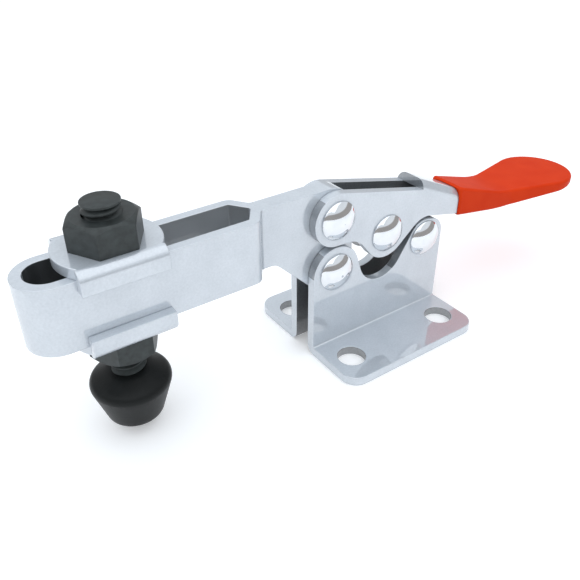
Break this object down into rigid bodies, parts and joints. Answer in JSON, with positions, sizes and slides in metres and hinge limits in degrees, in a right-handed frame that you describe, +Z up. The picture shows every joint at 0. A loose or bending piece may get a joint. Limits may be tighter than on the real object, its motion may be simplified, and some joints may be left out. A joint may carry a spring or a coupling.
{
  "type": "toggle clamp",
  "caption": "Horizontal hold-down toggle clamp with a flanged base, an open slotted clamping bar, a rubber-tipped spindle and a dipped handle.",
  "frame": {"origin": "centre of the four mounting holes, on the underside of the base", "axes": "+X towards the grip, -X towards the spindle, +Z up off the mounting surface"},
  "size_m": [0.1707, 0.044, 0.0585],
  "materials": {
    "base_plate_left": "zinc-plated pressed steel",
    "base_plate_right": "zinc-plated pressed steel",
    "clamping_bar": "zinc-plated folded steel",
    "handle_lever": "zinc-plated pressed steel",
    "handle_grip": "satin dipped vinyl",
    "toggle_link_left": "zinc-plated steel",
    "toggle_link_right": "zinc-plated steel",
    "washer_upper": "zinc-plated pressed steel",
    "washer_lower": "zinc-plated pressed steel",
    "nut_upper": "black-oxide steel",
    "nut_lower": "black-oxide steel",
    "spindle_bolt": "black-oxide steel",
    "spindle_tip": "moulded rubber",
    "rivet_bar_base": "bright riveted steel",
    "rivet_bar_handle": "bright riveted steel",
    "rivet_link_base": "bright riveted steel",
    "rivet_link_handle_left": "bright riveted steel",
    "rivet_link_handle_right": "bright riveted steel",
    "bush_bar_base": "hardened ground steel",
    "bush_bar_handle": "hardened ground steel",
    "bush_link_base": "hardened ground steel",
    "bush_link_handle": "hardened ground steel"
  },
  "bodies": {
    "base": {"base_plate_left": "base_plate_left", "base_plate_right": "base_plate_right", "rivet_bar_base": "rivet_bar_base", "rivet_link_base": "rivet_link_base"},
    "bar": {"clamping_bar": "clamping_bar", "bush_bar_base": "bush_bar_base", "bush_bar_handle": "bush_bar_handle"},
    "handle": {"handle_lever": "handle_lever", "handle_grip": "handle_grip", "rivet_bar_handle": "rivet_bar_handle", "rivet_link_handle_left": "rivet_link_handle_left", "rivet_link_handle_right": "rivet_link_handle_right"},
    "links": {"toggle_link_left": "toggle_link_left", "toggle_link_right": "toggle_link_right", "bush_link_base": "bush_link_base", "bush_link_handle": "bush_link_handle"},
    "carriage": {"washer_upper": "washer_upper", "washer_lower": "washer_lower", "nut_upper": "nut_upper", "nut_lower": "nut_lower"},
    "spindle": {"spindle_bolt": "spindle_bolt", "spindle_tip": "spindle_tip"}
  },
  "joints": [
    {"name": "bar_lift", "type": "hinge", "parent": "base", "child": "bar", "pos_m": [-0.0153, 0, 0.0241], "axis": [0, 1, 0], "range_deg": [0, 76]},
    {"name": "handle_swing", "type": "hinge", "parent": "bar", "child": "handle", "pos_m": [-0.0152, 0, 0.0389], "axis": [0, 1, 0], "range_deg": [-152, 0]},
    {"name": "link_swing", "type": "hinge", "parent": "base", "child": "links", "pos_m": [0.0157, 0, 0.0242], "axis": [0, 1, 0], "range_deg": [0, 60.8]},
    {"name": "carriage_slide", "type": "slide", "parent": "bar", "child": "carriage", "axis": [1, 0, 0], "range_m": [-0.012, 0.012]},
    {"name": "spindle_screw", "type": "slide", "parent": "carriage", "child": "spindle", "axis": [0, 0, 1], "range_m": [-0.003, 0.003]}
  ],
  "couplings": [
    {"joint": "handle_swing", "follows": "bar_lift", "ratio": -2},
    {"joint": "link_swing", "follows": "bar_lift", "ratio": 0.8}
  ]
}
